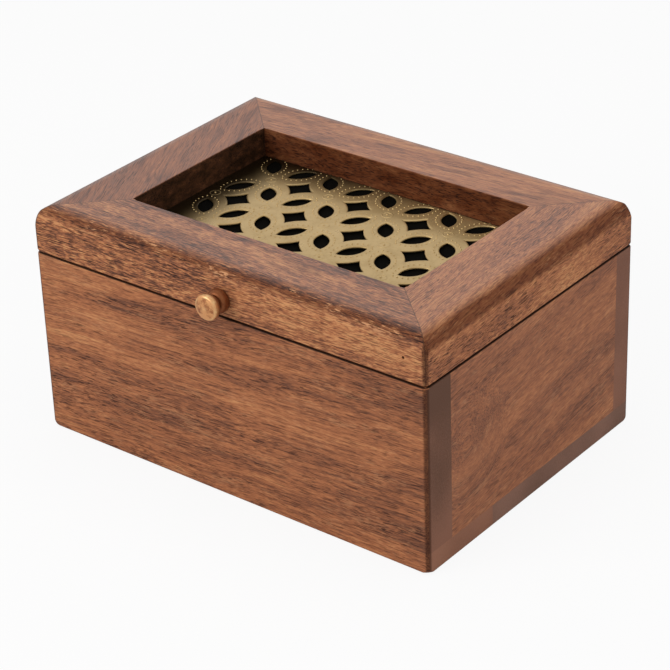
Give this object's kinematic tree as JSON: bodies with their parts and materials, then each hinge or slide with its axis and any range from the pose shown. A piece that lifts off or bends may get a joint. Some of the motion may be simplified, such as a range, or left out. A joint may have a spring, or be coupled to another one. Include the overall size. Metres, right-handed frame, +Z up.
{
  "type": "inlaid wooden box",
  "caption": "Rectangular hardwood keepsake box with a mitred, hinged lid frame, a pierced brass lattice panel sunk in the lid and a small turned knob.",
  "frame": {"origin": "on the table, under the middle of the case", "axes": "+Z up, front with the knob towards -Y, +X to the right seen from the front"},
  "size_m": [0.2, 0.1564, 0.1045],
  "materials": {
    "front_wood": "satin oiled hardwood, long grain",
    "side_wood": "satin oiled hardwood, swirled figure",
    "floor_wood": "satin oiled hardwood, dark end grain",
    "rail_wood": "satin oiled hardwood",
    "plywood": "plain plywood",
    "steel": "plain wire",
    "aged_brass": "antique stamped brass",
    "turned_brass": "turned and polished",
    "hinge_brass": "plain brass",
    "black_cloth": "matt black"
  },
  "bodies": {
    "case": {"front_board": "front_wood", "back_board": "front_wood", "left_side_board": "side_wood", "right_side_board": "side_wood", "front_floor_plank": "floor_wood", "rear_floor_plank": "floor_wood", "wall_brads": "steel", "floor_brads": "steel", "left_hinge_case_leaf": "hinge_brass", "right_hinge_case_leaf": "hinge_brass", "left_hinge_pin": "hinge_brass", "right_hinge_pin": "hinge_brass", "case_leaf_screws": "hinge_brass"},
    "lid": {"lid_front_rail": "rail_wood", "lid_back_rail": "rail_wood", "lid_left_rail": "rail_wood", "lid_right_rail": "rail_wood", "mitre_brads": "steel", "pierced_brass_sheet": "aged_brass", "black_backing_cloth": "black_cloth", "plywood_backing": "plywood", "backing_brads": "steel", "knob": "turned_brass", "left_hinge_lid_leaf": "hinge_brass", "right_hinge_lid_leaf": "hinge_brass", "lid_leaf_screws": "hinge_brass"}
  },
  "joints": [
    {"name": "lid_hinge", "type": "hinge", "parent": "case", "child": "lid", "pos_m": [0, 0.07215, 0.08405], "axis": [-1, 0, 0], "range_deg": [0, 180]}
  ]
}
